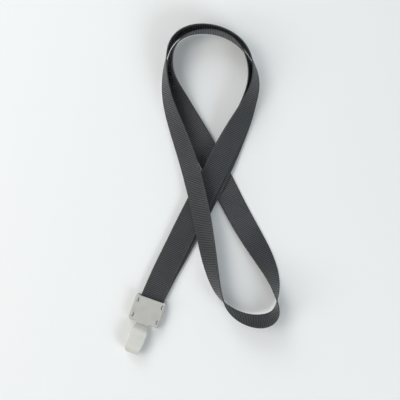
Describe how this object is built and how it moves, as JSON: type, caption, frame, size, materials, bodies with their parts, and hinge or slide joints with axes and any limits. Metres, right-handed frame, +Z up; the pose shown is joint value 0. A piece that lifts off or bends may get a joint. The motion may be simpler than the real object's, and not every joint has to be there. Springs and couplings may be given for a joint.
{
  "type": "lanyard",
  "caption": "Flat woven neck lanyard laid in two open loops, its ribbon ends held in a snap-together clamp with a flat plastic hook and sprung gate.",
  "frame": {"origin": "middle of the laid lanyard's outline, on the surface it lies on", "axes": "+Y along the clamp's axis from the hook to the ribbon, +Z up from the surface, +X to the right seen from above"},
  "size_m": [0.1213, 0.2117, 0.0173],
  "materials": {
    "ribbon": "woven satin",
    "clamp": "satin moulded",
    "hook": "satin moulded"
  },
  "bodies": {
    "ribbon": {"ribbon_loop": "ribbon"},
    "clamp": {"ribbon_ends": "ribbon", "clamp_back": "clamp", "clamp_front": "clamp", "hook": "hook"},
    "gate": {"gate": "hook"}
  },
  "joints": [
    {"name": "clamp_fold", "type": "hinge", "parent": "ribbon", "child": "clamp", "pos_m": [-0.0163, -0.067, 0.0026], "axis": [-1, 0, 0], "range_deg": [0, 60]},
    {"name": "gate_hinge", "type": "hinge", "parent": "clamp", "child": "gate", "pos_m": [-0.01726, -0.089, 0.0009], "axis": [-0.9986, 0.0523, 0], "range_deg": [0, 22], "stiffness_Nm_per_rad": 0.01, "springref_deg": -2.86}
  ]
}
